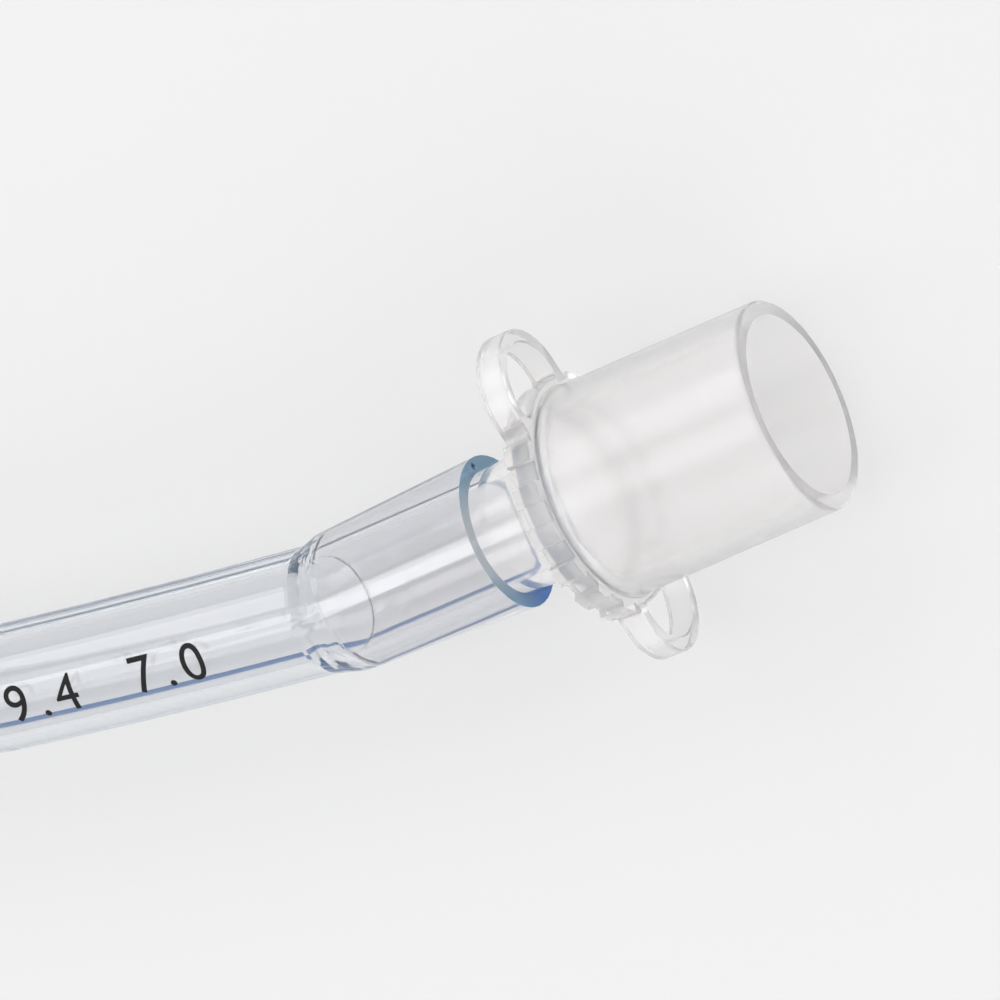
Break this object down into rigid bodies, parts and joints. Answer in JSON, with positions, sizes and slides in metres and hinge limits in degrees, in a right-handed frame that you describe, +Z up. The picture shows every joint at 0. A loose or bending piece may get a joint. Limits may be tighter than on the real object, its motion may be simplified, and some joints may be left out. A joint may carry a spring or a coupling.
{
  "type": "endotracheal tube",
  "caption": "Clear cuffed breathing tube with a bevelled tip, a side eye and a translucent conical circuit connector with two loop ears.",
  "frame": {"origin": "centre of the connector's mouth, on its axis", "axes": "+X out of the mouth along the connector's axis, +Z up from the surface that the tube lies on, +Y towards the inner side of the tube's bow"},
  "size_m": [0.1951, 0.233, 0.0176],
  "materials": {
    "connector": "translucent moulded polypropylene, satin",
    "tube": "clear soft PVC, smooth extruded",
    "radiopaque_line": "blue filled PVC, inside the clear wall",
    "cuff": "clear thin PVC film, soft folds"
  },
  "bodies": {
    "root": {"connector": "connector", "tube": "tube", "radiopaque_line": "radiopaque_line", "cuff": "cuff"}
  },
  "joints": []
}
